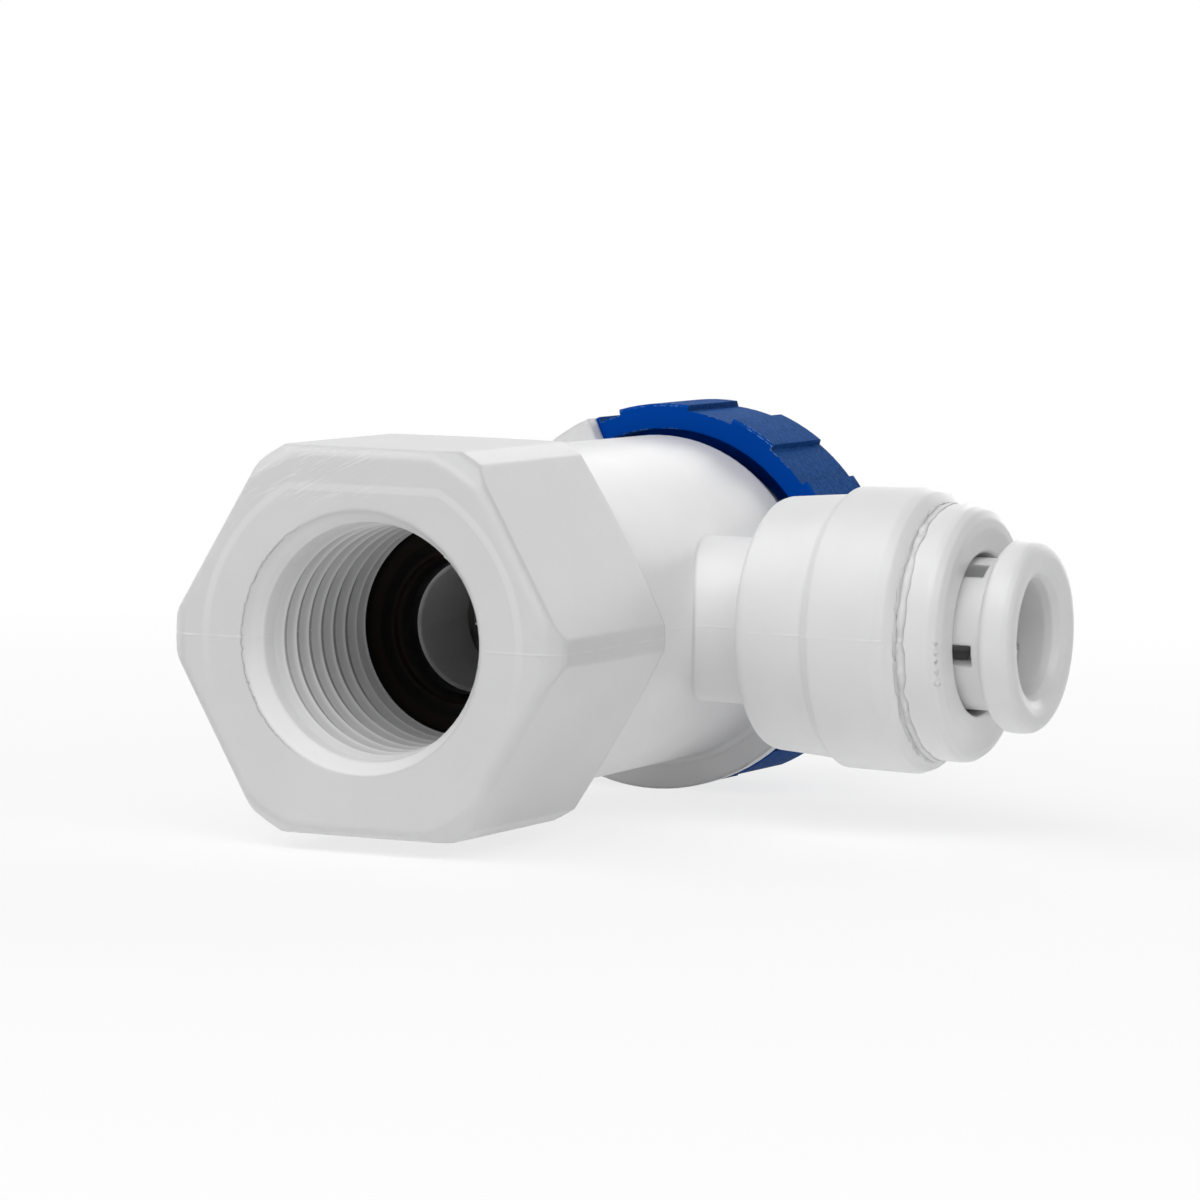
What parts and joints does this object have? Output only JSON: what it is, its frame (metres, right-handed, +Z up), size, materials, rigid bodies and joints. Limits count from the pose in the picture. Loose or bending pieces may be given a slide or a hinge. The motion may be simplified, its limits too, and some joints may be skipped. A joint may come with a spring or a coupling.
{
  "type": "tank valve",
  "caption": "Angle valve with a hexagonal thread socket, a quarter-turn knob at the far end and a push-fit tube outlet at the side.",
  "frame": {"origin": "centre of the thread socket where its wall begins, 1.25 mm behind the hexagon's front face", "axes": "-Y out of the thread socket, +Y towards the knob, +X out of the tube outlet, +Z up as the valve lies in the picture"},
  "size_m": [0.0409, 0.048, 0.023],
  "materials": {
    "white_body": "satin moulded acetal",
    "white_gloss": "smooth moulded acetal",
    "white_inner": "moulded acetal",
    "pale_plastic": "plain moulded",
    "blue_knob": "fine-grained moulded",
    "seal_rubber": "matt",
    "ring_rubber": "smooth",
    "steel": "bright"
  },
  "bodies": {
    "valve": {"valve_body": "white_body", "tank_seal": "seal_rubber", "outlet_seat": "pale_plastic", "blank_seat": "pale_plastic", "outlet_seat_ring": "ring_rubber", "blank_seat_ring": "ring_rubber", "thrust_washer": "pale_plastic", "bonnet": "white_inner", "bonnet_ring": "ring_rubber", "end_cap": "white_gloss", "spacer_ring": "pale_plastic", "tube_ring": "ring_rubber"},
    "rotor": {"knob": "blue_knob", "stem": "white_inner", "stem_ring_inner": "ring_rubber", "stem_ring_outer": "ring_rubber", "ball": "pale_plastic", "knob_screw": "steel", "screw_washer": "steel", "screw_cap": "blue_knob"},
    "collet_body": {"collet": "white_gloss", "tooth_1": "steel", "tooth_2": "steel", "tooth_3": "steel", "tooth_4": "steel", "tooth_5": "steel"}
  },
  "joints": [
    {"name": "knob_turn", "type": "hinge", "parent": "valve", "child": "rotor", "pos_m": [0, 0.02596, 0], "axis": [0, -1, 0], "range_deg": [0, 90]},
    {"name": "collet_slide", "type": "slide", "parent": "valve", "child": "collet_body", "axis": [1, 0, 0], "range_m": [-0.0014, 0]}
  ]
}
